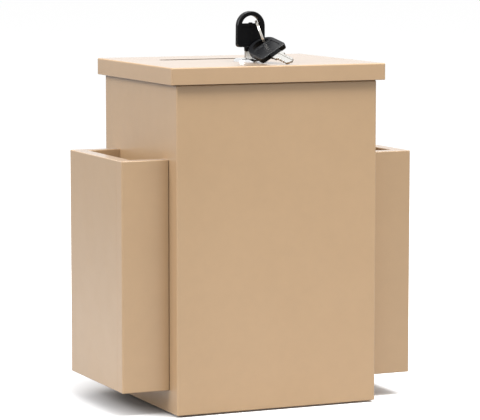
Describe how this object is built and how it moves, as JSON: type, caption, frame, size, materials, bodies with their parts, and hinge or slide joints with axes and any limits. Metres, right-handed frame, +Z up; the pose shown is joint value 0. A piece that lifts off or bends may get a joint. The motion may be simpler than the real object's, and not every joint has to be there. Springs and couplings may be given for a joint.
{
  "type": "ballot box",
  "caption": "Upright painted board ballot box with a slotted, lockable hinged lid and an open-topped pocket on each side.",
  "frame": {"origin": "on the surface the box stands on, midway across the width and midway between the lid's front edge and the hinge knuckles", "axes": "+X to the right along the front, +Y from the front to the back, +Z up"},
  "size_m": [0.2622, 0.1742, 0.3284],
  "materials": {
    "painted_board": "satin warm beige paint on fibreboard",
    "beech": "plain turned beech",
    "zinc_steel": "zinc plated",
    "hinge_steel": "nickel plated, satin",
    "spring_steel": "bright wire",
    "foot_rubber": "matt black",
    "lock_chrome": "polished",
    "wafer_brass": "stamped",
    "key_plastic": "moulded black, fine satin",
    "key_nickel": "nickel plated, milled",
    "ring_steel": "nickel plated wire"
  },
  "bodies": {
    "box": {"front_panel": "painted_board", "back_panel": "painted_board", "left_side_panel": "painted_board", "right_side_panel": "painted_board", "bottom_panel": "painted_board", "carcase_dowels": "beech", "strike_cleat": "painted_board", "cleat_screws": "zinc_steel", "rubber_feet": "foot_rubber", "left_pocket_front": "painted_board", "left_pocket_back": "painted_board", "left_pocket_outer": "painted_board", "left_pocket_floor": "painted_board", "left_pocket_dowels": "beech", "left_pocket_screws": "zinc_steel", "right_pocket_front": "painted_board", "right_pocket_back": "painted_board", "right_pocket_outer": "painted_board", "right_pocket_floor": "painted_board", "right_pocket_dowels": "beech", "right_pocket_screws": "zinc_steel", "body_hinge_leaves": "hinge_steel", "hinge_pins": "hinge_steel", "body_leaf_screws": "zinc_steel"},
    "lid": {"lid_board": "painted_board", "lid_hinge_leaves": "hinge_steel", "lid_leaf_screws": "zinc_steel", "lock_housing": "lock_chrome", "lock_washer": "zinc_steel", "lock_nut": "zinc_steel"},
    "lock_plug": {"lock_plug": "lock_chrome", "lock_wafers": "wafer_brass", "wafer_springs": "spring_steel", "lock_cam": "zinc_steel", "cam_screw": "zinc_steel"},
    "lock_key": {"lock_key_head": "key_plastic", "lock_key_blade": "key_nickel"},
    "key_ring": {"key_ring": "ring_steel"},
    "spare_key": {"spare_key_head": "key_plastic", "spare_key_blade": "key_nickel"}
  },
  "joints": [
    {"name": "lid_hinge", "type": "hinge", "parent": "box", "child": "lid", "pos_m": [0, 0.0845, 0.27185], "axis": [-1, 0, 0], "range_deg": [0, 200]},
    {"name": "lock_turn", "type": "hinge", "parent": "lid", "child": "lock_plug", "pos_m": [0, -0.0261, 0.286], "axis": [0, 0, -1], "range_deg": [0, 90]},
    {"name": "key_pull", "type": "slide", "parent": "lock_plug", "child": "lock_key", "axis": [0, 0, 1], "range_m": [0, 0.018]},
    {"name": "ring_turn", "type": "hinge", "parent": "lock_key", "child": "key_ring", "pos_m": [0.00922, -0.02772, 0.30834], "axis": [-0.8632, 0.3536, -0.3603], "range_deg": [0, 50]},
    {"name": "spare_key_swing", "type": "hinge", "parent": "key_ring", "child": "spare_key", "pos_m": [0.00804, -0.03787, 0.30119], "axis": [-0.4947, -0.4503, 0.7433], "range_deg": [0, 45]}
  ]
}
